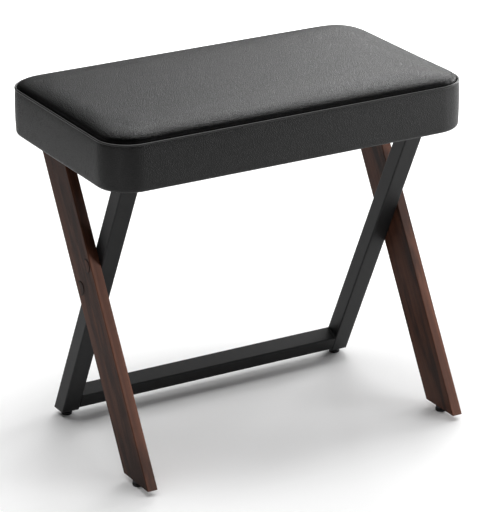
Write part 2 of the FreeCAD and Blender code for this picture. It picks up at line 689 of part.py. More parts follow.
def make_feet():
    """Each foot: a stud with an adjusting wheel, turning in a pad and sole."""
    insert = tube_of("foot_insert_pattern", THREAD_RADIUS, "Dims.insert_radius",
                     "Dims.foot_insert_length")
    board_spot = V(size(BOARD_MIDDLE_X), size("Dims.board_foot_y"), size("Dims.leg_underside"))
    group("foot_inserts", insert, both_sides([(board_spot, V(0, 0, 1))]))

    stud = turned("foot_stud_pattern", [
        ("0", "Dims.sole_thickness + Dims.foot_gap"),
        ("Dims.ball_radius", "Dims.sole_thickness + Dims.foot_gap"),
        ("Dims.ball_radius", "Dims.ball_top"), ("Dims.neck_radius", "Dims.ball_top"),
        ("Dims.neck_radius", "Dims.wheel_bottom"), ("Dims.wheel_radius - 0.4", "Dims.wheel_bottom"),
        ("Dims.wheel_radius", "Dims.wheel_bottom + 0.4"), ("Dims.wheel_radius", "Dims.wheel_top - 0.4"),
        ("Dims.wheel_radius - 0.4", "Dims.wheel_top"), ("Dims.bolt_radius", "Dims.wheel_top"),
        ("Dims.bolt_radius", "Dims.stud_top - 0.8"), ("Dims.bolt_radius - 0.8", "Dims.stud_top"),
        ("0", "Dims.stud_top")])
    pad_ring = turned("foot_pad_pattern", [
        ("Dims.ball_radius + Dims.foot_gap", "Dims.sole_thickness"),
        ("Dims.pad_radius", "Dims.sole_thickness"), ("Dims.pad_radius", "Dims.pad_top - 0.8"),
        ("Dims.pad_radius - 0.8", "Dims.pad_top"),
        ("Dims.neck_radius + Dims.foot_gap", "Dims.pad_top"),
        ("Dims.neck_radius + Dims.foot_gap", "Dims.ball_top + Dims.foot_gap"),
        ("Dims.ball_radius + Dims.foot_gap", "Dims.ball_top + Dims.foot_gap")])
    sole = turned("foot_sole_pattern", [
        ("0", "0"), ("Dims.sole_radius - 0.4", "0"), ("Dims.sole_radius", "0.4"),
        ("Dims.sole_radius", "Dims.sole_thickness"), ("0", "Dims.sole_thickness")])

    for side, sign in (("left", -1), ("right", 1)):
        for leg, x, y in (("board", BOARD_MIDDLE_X, "Dims.board_foot_y"),
                          ("tube", TUBE_MIDDLE_X, "Dims.tube_foot_y")):
            spot = FreeCAD.Placement(V(sign * size(x), size(y), 0), FreeCAD.Rotation())
            for piece, pattern in (("stud", stud), ("pad", pad_ring), ("sole", sole)):
                group(f"{side}_{leg}_foot_{piece}", pattern, [spot])


# ------------------------------------------------------------------ build

make_seat_board()
make_seat_foam()
make_top_panel()
make_side_band()
make_welt()
make_dust_cover()
make_tee_nuts()
make_staples()
make_board_leg()
make_tube_leg()
make_stretcher()
make_seat_rail()
make_weld_beads()
make_tube_cap()
washer_pattern = make_seat_bolts()
make_crossing_fixings(washer_pattern)
make_ear_fixings(washer_pattern)
make_feet()
doc.recompute()

for obj in doc.Objects:
    if "Invalid" in obj.State or "Error" in obj.State:
        raise RuntimeError(f"{obj.Name} failed: {obj.State}")

for name, node in nodes.items():
    shape = node.Shape
    if shape.isNull() or not shape.isValid() or not shape.Solids:
        raise RuntimeError(f"{name} has no valid solid")
    shape.exportStep(f"parts/{name}.step")
    print(f"{name}: {len(shape.Solids)} solids, {shape.Volume:.1f} mm3")
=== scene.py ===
import json
import math

import bpy
from mathutils import Matrix, Vector, noise


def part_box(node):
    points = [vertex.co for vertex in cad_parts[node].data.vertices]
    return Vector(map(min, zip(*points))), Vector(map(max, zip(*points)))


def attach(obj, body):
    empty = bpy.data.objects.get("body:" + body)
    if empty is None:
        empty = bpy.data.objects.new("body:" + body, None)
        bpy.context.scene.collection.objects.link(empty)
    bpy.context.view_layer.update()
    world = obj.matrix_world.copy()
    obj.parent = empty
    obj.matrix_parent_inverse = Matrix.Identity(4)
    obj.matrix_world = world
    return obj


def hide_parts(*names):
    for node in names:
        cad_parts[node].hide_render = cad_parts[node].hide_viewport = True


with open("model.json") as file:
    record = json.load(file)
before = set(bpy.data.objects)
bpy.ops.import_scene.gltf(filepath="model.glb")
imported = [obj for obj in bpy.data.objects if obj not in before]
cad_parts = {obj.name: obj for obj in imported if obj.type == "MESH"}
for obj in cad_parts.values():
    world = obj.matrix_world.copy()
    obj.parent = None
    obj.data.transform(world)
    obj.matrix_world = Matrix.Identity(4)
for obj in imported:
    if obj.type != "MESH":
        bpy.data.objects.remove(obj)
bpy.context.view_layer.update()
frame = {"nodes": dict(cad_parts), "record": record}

# Piano bench: leather cushion seat on crossed walnut boards and steel tubes.
# Metres, +Z up, +X along the seat, +Y the back. The cushion, the side leather,
# the piping and the dust cloth are made here. Every other piece is the frame's
# own node.

MM = 0.001
NODES = frame["nodes"]
SEAT_BODY = "frame"
WOODEN_NODES = ("left_board_leg", "right_board_leg", "left_bolt_covers", "right_bolt_covers")

band_low, band_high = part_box("cover_side_band")
welt_low, welt_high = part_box("welt")
cloth_low, cloth_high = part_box("dust_cover")

SEAM_Z = (welt_low.z + welt_high.z) / 2
SEAT_CENTRE = Vector(((band_low.x + band_high.x) / 2, (band_low.y + band_high.y) / 2, SEAM_Z))
HALF_X = (band_high.x - band_low.x) / 2
HALF_Y = (band_high.y - band_low.y) / 2
SEAT_CORNER = 46.5 * MM     # radius of the seat's round corners, seen from above
BOARD_TILT = math.radians(29.6)

X_AXIS = Vector((1, 0, 0))
Y_AXIS = Vector((0, 1, 0))
Z_AXIS = Vector((0, 0, 1))


# ------------------------------------------------------------ mesh helpers

def deselect_all():
    if bpy.context.object and bpy.context.object.mode != "OBJECT":
        bpy.ops.object.mode_set(mode="OBJECT")
    bpy.ops.object.select_all(action="DESELECT")


def make_active(piece):
    deselect_all()
    piece.select_set(True)
    bpy.context.view_layer.objects.active = piece


def select_faces(piece, test):
    """Select the faces of a piece that the test picks, ready for edit mode."""
    bpy.ops.object.mode_set(mode="EDIT")
    bpy.ops.mesh.select_mode(type="FACE")
    bpy.ops.object.mode_set(mode="OBJECT")
    for item in (*piece.data.vertices, *piece.data.edges, *piece.data.polygons):
        item.select = False
    for face in piece.data.polygons:
        face.select = test(face)
    bpy.ops.object.mode_set(mode="EDIT")


def select_edges(piece, test):
    """Select the edges whose two end points the test accepts."""
    bpy.ops.object.mode_set(mode="EDIT")
    bpy.ops.mesh.select_mode(type="EDGE")
    bpy.ops.object.mode_set(mode="OBJECT")
    points = piece.data.vertices
    for item in (*points, *piece.data.edges, *piece.data.polygons):
        item.select = False
    for edge in piece.data.edges:
        edge.select = test(points[edge.vertices[0]].co, points[edge.vertices[1]].co)
    bpy.ops.object.mode_set(mode="EDIT")


def cut_across(axis, positions):
    """Cut the piece in edit mode right through, square to an axis."""
    for position in positions:
        bpy.ops.mesh.select_all(action="SELECT")
        bpy.ops.mesh.bisect(plane_co=axis * position, plane_no=axis)


def block(name, low, high):
    """A box between two corners, with its place in its mesh."""
    deselect_all()
    middle = (Vector(low) + Vector(high)) / 2
    bpy.ops.mesh.primitive_cube_add(size=1, location=middle)
    piece = bpy.context.object
    piece.name = name
    piece.scale = Vector(high) - Vector(low)
    bpy.ops.object.transform_apply(location=True, rotation=True, scale=True)
    return piece


def apply_modifier(piece, kind, **values):
    make_active(piece)
    modifier = piece.modifiers.new(kind.lower(), kind)
    for key, value in values.items():
        setattr(modifier, key, value)
    bpy.ops.object.modifier_apply(modifier=modifier.name)


def smooth_by_angle(piece, degrees=60):
    make_active(piece)
    bpy.ops.object.shade_smooth_by_angle(angle=math.radians(degrees))


def dress(piece, material):
    piece.data.materials.clear()
    piece.data.materials.append(material)


# ------------------------------------------------------------ the cushion

SEAM_TUCK = 2.4 * MM        # how far the seam pulls the top leather in
SEAM_TUCK_WIDTH = 3 * MM    # height over which that pull fades
SEAM_TUCK_REACH = 12 * MM   # distance in from the outline where it ends
SEAM_BELOW = 2 * MM         # points down to here move with the top leather
CUSHION_SKIRT = 18 * MM     # side wall of the blank below the seam
CUSHION_LID = 2 * MM        # top of the blank above the seam
CUSHION_CORNER_STEPS = 14
CUSHION_VOXEL = 5 * MM
ROLL_WIDTH = 34 * MM        # rounding of the top edge before it swells
ROLL_RISE_FRONT = 12 * MM   # the edge that is sat over is the fullest
ROLL_RISE_BACK = 7.5 * MM
FULL_TO_LEFT = 0.45         # how much the fullness grows to the left
FULL_TO_FRONT = 0.8         # and how much to the front
CROWN_TOP = 13.5 * MM       # height of the middle above the seam
CROWN_FLAT_X = 4            # the higher, the flatter the crown's middle
CROWN_FLAT_Y = 2.6
FOAM_GAP = 2.6 * MM         # between the foam's side and the side leather
FOAM_LIFT = 0.2 * MM        # foam's underside above the plywood
BOARD_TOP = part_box("seat_board")[1].z

SWELL_MOST = 1.6 * MM       # the foam behind the leather stops it there
SWELL_ROUNDS = 10           # how often the swell is evened out
SWELL_FRAMES = 20
HELD_ABOVE = 3 * MM         # the leather this near to the seam is held
HELD_INWARD = 4 * MM
SWELL_SETTINGS = {
    "quality": 6, "mass": 0.3, "tension_stiffness": 18, "compression_stiffness": 18,
    "bending_stiffness": 1.5, "use_pressure": True, "uniform_pressure_force": 4,
    "vertex_group_mass": "held"}


def edge_distance(x, y):
    """Distance in from the seat's rounded outline."""
    across = abs(x - SEAT_CENTRE.x)
    deep = abs(y - SEAT_CENTRE.y)
    past_x = across - (HALF_X - SEAT_CORNER)
    past_y = deep - (HALF_Y - SEAT_CORNER)
    if past_x > 0 and past_y > 0:
        return SEAT_CORNER - math.hypot(past_x, past_y)
    return min(HALF_X - across, HALF_Y - deep)


def outline_normal(x, y):
    """Outward direction of the nearest stretch of the outline."""
    across, deep = x - SEAT_CENTRE.x, y - SEAT_CENTRE.y
    past_x = abs(across) - (HALF_X - SEAT_CORNER)
    past_y = abs(deep) - (HALF_Y - SEAT_CORNER)
    if past_x > 0 and past_y > 0:
        direction = Vector((math.copysign(past_x, across), math.copysign(past_y, deep), 0))
    elif HALF_X - abs(across) < HALF_Y - abs(deep):
        direction = Vector((math.copysign(1, across), 0, 0))
    else:
        direction = Vector((0, math.copysign(1, deep), 0))
    return direction.normalized()


def crown_height(x, y):
    """Height of the unswollen top above the seam."""
    inward = max(edge_distance(x, y), 0)
    roll = min(inward / ROLL_WIDTH, 1)
    across = (x - SEAT_CENTRE.x) / HALF_X
    deep = (y - SEAT_CENTRE.y) / HALF_Y
    front_share = min(max(0.5 - FULL_TO_LEFT * across - FULL_TO_FRONT * deep, 0), 1)
    roll_rise = ROLL_RISE_BACK + (ROLL_RISE_FRONT - ROLL_RISE_BACK) * front_share
    rolled = roll_rise * math.sqrt(1 - (1 - roll) ** 2)
    slow = (1 - across ** CROWN_FLAT_X) * (1 - abs(deep) ** CROWN_FLAT_Y)
    return rolled + (CROWN_TOP - roll_rise) * max(slow, 0)


def rounded_block(name, low, high, radius, segments):
    """A block whose four upright edges are rounded."""
    piece = block(name, low, high)
    height = high[2] - low[2]
    select_edges(piece, lambda a, b: abs(a.z - b.z) > height / 2)
    bpy.ops.mesh.bevel(offset=radius, segments=segments, affect="EDGES")
    bpy.ops.object.mode_set(mode="OBJECT")
    return piece


def cushion_blank():
    """The cushion before it swells: a rounded block with a low crown."""
    low = (band_low.x, band_low.y, SEAM_Z - CUSHION_SKIRT)
    high = (band_high.x, band_high.y, SEAM_Z + CUSHION_LID)
    piece = rounded_block("seat_top_cushion", low, high, SEAT_CORNER, CUSHION_CORNER_STEPS)
    apply_modifier(piece, "REMESH", mode="VOXEL", voxel_size=CUSHION_VOXEL,
                   use_smooth_shade=True)
    for point in piece.data.vertices:
        if point.co.z > SEAM_Z - SEAM_BELOW:
            point.co.z = SEAM_Z + crown_height(point.co.x, point.co.y)
    return piece


def even_out(piece, values, rounds):
    """Average a value at each point with its neighbours, a few times over."""
    links = [(edge.vertices[0], edge.vertices[1]) for edge in piece.data.edges]
    for _ in range(rounds):
        total, count = list(values), [1] * len(values)
        for a, b in links:
            total[a] += values[b]
            total[b] += values[a]
            count[a] += 1
            count[b] += 1
        values = [part / share for part, share in zip(total, count)]
    return values


def pressure_swell(piece, most):
    """Let the leather swell upwards under pressure, held at and below the seam."""
    held = piece.vertex_groups.new(name="held")
    for point in piece.data.vertices:
        near_seam = point.co.z < SEAM_Z + HELD_ABOVE
        near_edge = edge_distance(*point.co.xy) < HELD_INWARD
        if (near_seam and near_edge) or point.co.z < SEAM_Z - SEAM_BELOW:
            held.add([point.index], 1.0, "REPLACE")
    rest = [point.co.copy() for point in piece.data.vertices]
    make_active(piece)
    cloth = piece.modifiers.new("swell", "CLOTH")
    for key, value in SWELL_SETTINGS.items():
        setattr(cloth.settings, key, value)
    cloth.settings.effector_weights.gravity = 0
    cloth.point_cache.frame_start = 1
    cloth.point_cache.frame_end = SWELL_FRAMES
    for step in range(1, SWELL_FRAMES + 1):
        bpy.context.scene.frame_set(step)
    bpy.ops.object.modifier_apply(modifier=cloth.name)
    bpy.context.scene.frame_set(1)
    swell = [min(max(point.co.z - start.z, 0), most)
             for point, start in zip(piece.data.vertices, rest)]
    swell = even_out(piece, swell, SWELL_ROUNDS)
    for point, start, rise in zip(piece.data.vertices, rest, swell):
        point.co = start + Vector((0, 0, rise))


def relax(piece, rounds):
    apply_modifier(piece, "SMOOTH", factor=0.5, iterations=rounds)


def make_cushion():
    """Foam and top leather: a swollen crown, tucked in at the seam."""
    top = cushion_blank()
    relax(top, rounds=3)
    pressure_swell(top, SWELL_MOST)
    relax(top, rounds=2)
    apply_modifier(top, "SUBSURF", levels=1, render_levels=1)
    for point in top.data.vertices:
        if edge_distance(*point.co.xy) < SEAM_TUCK_REACH:
            off_seam = (point.co.z - SEAM_Z) / SEAM_TUCK_WIDTH
            tuck = SEAM_TUCK * math.exp(-off_seam * off_seam)
            point.co -= outline_normal(*point.co.xy) * tuck

    # cut at the seam, then carry the foam down to the board
    make_active(top)
    bpy.ops.object.mode_set(mode="EDIT")
    bpy.ops.mesh.select_all(action="SELECT")
    bpy.ops.mesh.bisect(plane_co=(0, 0, SEAM_Z), plane_no=(0, 0, 1),
                        use_fill=True, clear_inner=True)
    select_faces(top, lambda face: face.normal.z < -0.9 and face.center.z < SEAM_Z + MM)
    bpy.ops.mesh.inset(thickness=FOAM_GAP, depth=0)
    bpy.ops.mesh.extrude_region_move(
        TRANSFORM_OT_translate={"value": (0, 0, BOARD_TOP + FOAM_LIFT - SEAM_Z)})
    bpy.ops.object.mode_set(mode="OBJECT")
    smooth_by_angle(top)
    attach(top, SEAT_BODY)
    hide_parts("cover_top_panel", "seat_foam")
    return top


# ---------------------------------------------------------- the side band

BAND_CORNER_STEPS = 20
BAND_BASE_ROUND = 5 * MM    # where the leather rolls under the plywood
BAND_BASE_STEPS = 6
BAND_SPRING = 0.7 * MM      # how far the middle of the side stands out
BAND_SPRING_POWER = 1.3
BAND_TUCK = 0.9 * MM        # how far the seam pulls the side leather in
BAND_WANDER = 0.35 * MM     # slow unevenness of hand-stretched leather
BAND_WANDER_SCALE = 14
RETURN_WIDTH = 28 * MM      # turned in under the plywood
RETURN_ROWS = (4 * MM, 6 * MM)
LEATHER = 1.2 * MM
PLEAT_DEPTH = 0.7 * MM
PLEAT_INSET = 9 * MM        # the gathers start this far in from the outline
PLEATS = 7
# cuts through the band, which give it enough points to bend smoothly
BAND_ROWS = 10
BAND_ROW_STEP = 5 * MM
SEAM_ROWS = (3.5 * MM, 1.5 * MM)
BAND_COLUMN_STEP = 26 * MM
BAND_COLUMNS_X = 8          # on each side of the middle
BAND_COLUMNS_Y = 4


def spring_of(point):
    """Outward move of the side leather at a height: full in the middle."""
    share = (point.z - band_low.z) / (SEAM_Z - band_low.z)
    spring = BAND_SPRING * math.sin(math.pi * min(max(share, 0), 1)) ** BAND_SPRING_POWER
    off_seam = (point.z - SEAM_Z) / SEAM_TUCK_WIDTH
    return spring - BAND_TUCK * math.exp(-off_seam * off_seam)


def pleat_of(point):
    """Downward move of the gathered leather under each round corner."""
    past_x = abs(point.x - SEAT_CENTRE.x) - (HALF_X - SEAT_CORNER)
    past_y = abs(point.y - SEAT_CENTRE.y) - (HALF_Y - SEAT_CORNER)
    if past_x <= 0 or past_y <= 0 or edge_distance(point.x, point.y) < PLEAT_INSET:
        return 0
    around = math.atan2(past_y, past_x) / (math.pi / 2)
    return PLEAT_DEPTH * max(math.sin(around * PLEATS * 2 * math.pi), 0)


def make_side_band():
    """Side leather: a little full, rolled under the board and turned in."""
    low = (band_low.x, band_low.y, band_low.z)
    high = (band_high.x, band_high.y, SEAM_Z)
    band = rounded_block("seat_side_band", low, high, SEAT_CORNER, BAND_CORNER_STEPS)
    select_edges(band, lambda a, b: max(a.z, b.z) < band_low.z + MM)
    bpy.ops.mesh.bevel(offset=BAND_BASE_ROUND, segments=BAND_BASE_STEPS, affect="EDGES")
    select_faces(band, lambda face: face.normal.z < -0.99)
    for width in (*RETURN_ROWS, RETURN_WIDTH - BAND_BASE_ROUND - sum(RETURN_ROWS)):
        bpy.ops.mesh.inset(thickness=width, depth=0)
    bpy.ops.mesh.delete(type="FACE")
    select_faces(band, lambda face: face.normal.z > 0.99)
    bpy.ops.mesh.delete(type="FACE")
    base = band_low.z + BAND_BASE_ROUND
    cut_across(Z_AXIS, [base + k * BAND_ROW_STEP for k in range(1, BAND_ROWS + 1)])
    cut_across(Z_AXIS, [SEAM_Z - below for below in SEAM_ROWS])
    cut_across(X_AXIS, [SEAT_CENTRE.x + k * BAND_COLUMN_STEP
                        for k in range(-BAND_COLUMNS_X, BAND_COLUMNS_X + 1)])
    cut_across(Y_AXIS, [SEAT_CENTRE.y + k * BAND_COLUMN_STEP
                        for k in range(-BAND_COLUMNS_Y, BAND_COLUMNS_Y + 1)])
    bpy.ops.object.mode_set(mode="OBJECT")
    for point in band.data.vertices:
        place = point.co.copy()
        wander = BAND_WANDER * noise.noise(place * BAND_WANDER_SCALE)
        point.co += outline_normal(place.x, place.y) * (spring_of(place) + wander)
        point.co.z -= pleat_of(place)
    apply_modifier(band, "SOLIDIFY", thickness=LEATHER, offset=-1)
    apply_modifier(band, "SUBSURF", levels=1, render_levels=1)
    smooth_by_angle(band)
    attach(band, SEAT_BODY)
    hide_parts("cover_side_band")
    return band


# ------------------------------------------------------------- the piping

PIPING_RADIUS = 1.55 * MM
PIPING_INSET = 1.3 * MM     # its middle, in from the outline
PIPING_CORNER_STEPS = 24
PIPING_ROUNDNESS = 4        # steps in a quarter of its section
ROUTE_HEIGHT = 2 * MM       # of the block whose base edge gives the route


def make_welt():
    """The round piping, lying in the seam all the way round."""
    low = (band_low.x + PIPING_INSET, band_low.y + PIPING_INSET, SEAM_Z)
    high = (band_high.x - PIPING_INSET, band_high.y - PIPING_INSET, SEAM_Z + ROUTE_HEIGHT)
    route = rounded_block("seat_welt", low, high, SEAT_CORNER - PIPING_INSET,
                          PIPING_CORNER_STEPS)
    select_faces(route, lambda face: face.normal.z > -0.5)
    bpy.ops.mesh.delete(type="FACE")
    bpy.ops.mesh.select_all(action="SELECT")
    bpy.ops.mesh.delete(type="ONLY_FACE")
    bpy.ops.object.mode_set(mode="OBJECT")
    make_active(route)
    bpy.ops.object.convert(target="CURVE")
    route.data.bevel_depth = PIPING_RADIUS
    route.data.bevel_resolution = PIPING_ROUNDNESS
    bpy.ops.object.convert(target="MESH")
    welt = bpy.context.object
    smooth_by_angle(welt)
    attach(welt, SEAT_BODY)
    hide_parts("welt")
    return welt


# --------------------------------------------------------- the dust cloth

CLOTH_CORNER = 32.5 * MM
CLOTH_CORNER_STEPS = 8
CLOTH_HEM = 8 * MM
CLOTH_PANES_X = 20
CLOTH_PANES_Y = 12
CLOTH_SLACK = 1.6 * MM      # how far the middle hangs down
RAIL_CLEAR = 12 * MM        # the cloth lies flat this near to the rails
STAPLE_CLEAR = 18 * MM      # and to its own front and back edge


def make_dust_cloth():
    """Thin black cloth under the seat, hemmed, a little slack in the middle."""
    low, high = cloth_low, cloth_high
    size_x, size_y = high.x - low.x, high.y - low.y
    middle = Vector(((low.x + high.x) / 2, (low.y + high.y) / 2, high.z))
    deselect_all()
    bpy.ops.mesh.primitive_plane_add(size=1, location=middle)
    piece = bpy.context.object
    piece.name = "seat_dust_cloth"
    piece.scale = (size_x, size_y, 1)
    bpy.ops.object.transform_apply(location=True, rotation=True, scale=True)
    bpy.ops.object.mode_set(mode="EDIT")
    bpy.ops.mesh.select_all(action="SELECT")
    bpy.ops.mesh.bevel(offset=CLOTH_CORNER, segments=CLOTH_CORNER_STEPS, affect="VERTICES")
    bpy.ops.mesh.inset(thickness=CLOTH_HEM, depth=0)
    cut_across(X_AXIS, [low.x + size_x * k / CLOTH_PANES_X for k in range(1, CLOTH_PANES_X)])
    cut_across(Y_AXIS, [low.y + size_y * k / CLOTH_PANES_Y for k in range(1, CLOTH_PANES_Y)])
    bpy.ops.object.mode_set(mode="OBJECT")
    slack_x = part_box("right_seat_rail")[0].x - RAIL_CLEAR
    slack_y = size_y / 2 - STAPLE_CLEAR
    for point in piece.data.vertices:
        across = abs(point.co.x) / slack_x
        deep = abs(point.co.y - middle.y) / slack_y
        if across < 1 and deep < 1:
            point.co.z -= CLOTH_SLACK * (1 - across ** 2) * (1 - deep ** 2)
    apply_modifier(piece, "SOLIDIFY", thickness=high.z - low.z, offset=-1)
    make_active(piece)
    bpy.ops.object.mode_set(mode="EDIT")
    bpy.ops.mesh.select_all(action="SELECT")
    bpy.ops.mesh.normals_make_consistent(inside=False)
    bpy.ops.object.mode_set(mode="OBJECT")
    smooth_by_angle(piece, degrees=40)
    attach(piece, SEAT_BODY)
    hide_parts("dust_cover")
    return piece


# --------------------------------------------------------------- materials

def new_material(name):
    material = bpy.data.materials.new(name)
    material.use_nodes = True
    tree = material.node_tree
    shader = tree.nodes["Principled BSDF"]
    return material, tree, shader


def node(tree, kind, **values):
    made = tree.nodes.new(kind)
    for key, value in values.items():
        if key in made.inputs:
            made.inputs[key].default_value = value
        else:
            setattr(made, key, value)
    return made


def link(tree, source, output, target, socket):
    tree.links.new(source.outputs[output], target.inputs[socket])


def new_group(name, inputs, outputs):
    """A shader group with float or vector inputs given as (name, default)."""
    tree = bpy.data.node_groups.new(name, "ShaderNodeTree")
    for label, default in inputs:
        kind = "NodeSocketVector" if isinstance(default, tuple) else "NodeSocketFloat"
        socket = tree.interface.new_socket(name=label, in_out="INPUT", socket_type=kind)
        socket.default_value = default
    for label, kind in outputs:
        tree.interface.new_socket(name=label, in_out="OUTPUT", socket_type=kind)
    entry = tree.nodes.new("NodeGroupInput")
    leave = tree.nodes.new("NodeGroupOutput")
    return tree, entry, leave


def use_group(tree, group, **values):
    made = tree.nodes.new("ShaderNodeGroup")
    made.node_tree = group
    for key, value in values.items():
        made.inputs[key].default_value = value
    return made


def object_place(tree, turn=(0, 0, 0), stretch=(1, 1, 1), shift=(0, 0, 0)):
    """Object coordinates through a Mapping node."""
    place = node(tree, "ShaderNodeTexCoord")
    mapping = node(tree, "ShaderNodeMapping")
    mapping.inputs["Rotation"].default_value = turn
    mapping.inputs["Scale"].default_value = stretch
    mapping.inputs["Location"].default_value = shift
    link(tree, place, "Object", mapping, "Vector")
    return mapping


def ramp(tree, stops):
    made = tree.nodes.new("ShaderNodeValToRGB")
    elements = made.color_ramp.elements
    for k, (position, colour) in enumerate(stops):
        element = elements[k] if k < 2 else elements.new(position)
        element.position = position
        element.color = (*colour, 1)
    return made


def map_range(tree, start=(0.0, 1.0), end=(0.0, 1.0), smooth=False):
    """Map one span of values to another, easing in and out where smooth."""
    made = node(tree, "ShaderNodeMapRange")
    made.interpolation_type = "SMOOTHSTEP" if smooth else "LINEAR"
    for label, value in zip(("From Min", "From Max", "To Min", "To Max"), (*start, *end)):
        made.inputs[label].default_value = value
    return made


def with_second(tree, kind, operation, second):
    """A math node whose second value is fixed."""
    made = node(tree, kind, operation=operation)
    made.inputs[1].default_value = second
    return made


def darken(tree, under, output, mask, mask_output, dark, share):
    """Lay a share of the dark colour over another where a mask asks for it."""
    over = node(tree, "ShaderNodeMix", data_type="RGBA", blend_type="MIX")
    over.inputs["B"].default_value = (*[share * channel for channel in dark], 1)
    link(tree, mask, mask_output, over, "Factor")
    link(tree, under, output, over, "A")
    return over


PEBBLE_EDGE = 0.28          # share of a cell over which a pebble rounds off
SPECK_SHARE = 0.25          # of fine specks on the pebbles


def pebble_group():
    """Pebbled leather: a height and a crease mask from small round cells."""
    tree, entry, leave = new_group(
        "pebbled_leather", [("Place", (0.0, 0.0, 0.0)), ("Cells", 900.0)],
        [("Height", "NodeSocketFloat"), ("Crease", "NodeSocketFloat")])
    cells = node(tree, "ShaderNodeTexVoronoi", feature="DISTANCE_TO_EDGE", Randomness=0.9)
    link(tree, entry, "Place", cells, "Vector")
    link(tree, entry, "Cells", cells, "Scale")
    dome = map_range(tree, (0.0, PEBBLE_EDGE), smooth=True)
    link(tree, cells, "Distance", dome, "Value")
    speck = node(tree, "ShaderNodeTexNoise", Scale=2600.0, Detail=2.0)
    link(tree, entry, "Place", speck, "Vector")
    mix = with_second(tree, "ShaderNodeMath", "MULTIPLY_ADD", SPECK_SHARE)
    link(tree, speck, "Fac", mix, 0)
    link(tree, dome, "Result", mix, 2)
    crease = node(tree, "ShaderNodeMath", operation="SUBTRACT")
    crease.inputs[0].default_value = 1.0
    link(tree, dome, "Result", crease, 1)
    link(tree, mix, "Value", leave, "Height")
    link(tree, crease, "Value", leave, "Crease")
    return tree


def speckle_group():
    """Fine even texture of powder coat, moulded plastic and rubber."""
    tree, entry, leave = new_group(
        "fine_speckle", [("Place", (0.0, 0.0, 0.0)), ("Size", 1500.0)],
        [("Height", "NodeSocketFloat"), ("Cloud", "NodeSocketFloat")])
    fine = node(tree, "ShaderNodeTexNoise", Detail=3.0, Roughness=0.6)
    link(tree, entry, "Place", fine, "Vector")
    link(tree, entry, "Size", fine, "Scale")
    cloud = node(tree, "ShaderNodeTexNoise", Scale=22.0, Detail=4.0)
    link(tree, entry, "Place", cloud, "Vector")
    link(tree, fine, "Fac", leave, "Height")
    link(tree, cloud, "Fac", leave, "Cloud")
    return tree


# the grain is drawn this much shorter along Z, so it runs long on the board
RING_STRETCH = 0.16
STREAK_STRETCH = 0.03
PORE_STRETCH = 0.06
PATCH_STRETCH = 0.17
RING_WANDER = 0.055         # how far the grain's wander moves the rings
PORE_SPAN = (0.56, 0.7)     # noise values between which a pore sets in
PATCH_SPAN = (0.48, 0.64)


def wood_group():
    """Solid wood along Z: growth rings, fine streaks, pores and dark patches."""
    tree, entry, leave = new_group(
        "solid_wood",
        [("Place", (0.0, 0.0, 0.0)), ("Rings", 60.0), ("Pores", 1500.0)],
        [("Tone", "NodeSocketFloat"), ("Streak", "NodeSocketFloat"),
         ("Pore", "NodeSocketFloat"), ("Figure", "NodeSocketFloat")])

    def along_grain(stretch):
        squeeze = with_second(tree, "ShaderNodeVectorMath", "MULTIPLY", (1.0, 1.0, stretch))
        link(tree, entry, "Place", squeeze, 0)
        return squeeze

    # growth rings cut by the board, pushed about by the slow wander of the grain
    long_place = along_grain(RING_STRETCH)
    wander = node(tree, "ShaderNodeTexNoise", Scale=11.0, Detail=3.0, Roughness=0.5)
    link(tree, long_place, "Vector", wander, "Vector")
    centred = with_second(tree, "ShaderNodeVectorMath", "SUBTRACT", (0.5, 0.5, 0.5))
    link(tree, wander, "Color", centred, 0)
    push = node(tree, "ShaderNodeVectorMath", operation="SCALE")
    push.inputs["Scale"].default_value = RING_WANDER
    link(tree, centred, "Vector", push, "Vector")
    moved = node(tree, "ShaderNodeVectorMath", operation="ADD")
    link(tree, long_place, "Vector", moved, 0)
    link(tree, push, "Vector", moved, 1)
    rings = node(tree, "ShaderNodeTexWave", wave_type="RINGS", rings_direction="Z",
                 wave_profile="SIN", Distortion=2.5, Detail=3.0)
    rings.inputs["Detail Scale"].default_value = 1.5
    link(tree, moved, "Vector", rings, "Vector")
    link(tree, entry, "Rings", rings, "Scale")

    streak = node(tree, "ShaderNodeTexNoise", Scale=260.0, Detail=5.0, Roughness=0.6)
    link(tree, along_grain(STREAK_STRETCH), "Vector", streak, "Vector")
    pore = node(tree, "ShaderNodeTexNoise", Detail=2.0, Roughness=0.5)
    link(tree, along_grain(PORE_STRETCH), "Vector", pore, "Vector")
    link(tree, entry, "Pores", pore, "Scale")
    pit = map_range(tree, PORE_SPAN, smooth=True)
    link(tree, pore, "Fac", pit, "Value")
    # dark patches with a fine-lined edge, a hand long, here and there
    patch = node(tree, "ShaderNodeTexNoise", Scale=34.0, Detail=5.0, Roughness=0.62)
    link(tree, along_grain(PATCH_STRETCH), "Vector", patch, "Vector")
    figure = map_range(tree, PATCH_SPAN, smooth=True)
    link(tree, patch, "Fac", figure, "Value")
    link(tree, figure, "Result", leave, "Figure")
    link(tree, rings, "Fac", leave, "Tone")
    link(tree, streak, "Fac", leave, "Streak")
    link(tree, pit, "Result", leave, "Pore")
    return tree


# centres (y, z) and radius of the wooden discs over the crossing bolts
DISC_CENTRES = ((-13.3 * MM, 269.7 * MM), (5.7 * MM, 232.3 * MM))
DISC_RADIUS = 9.5 * MM
DISC_SHADE_WIDTH = 1.5 * MM         # width of the painted shade on each side of the gap round a disc
# darkness of that painted shade at the gap itself
DISC_SHADE_DEPTH = 0.9


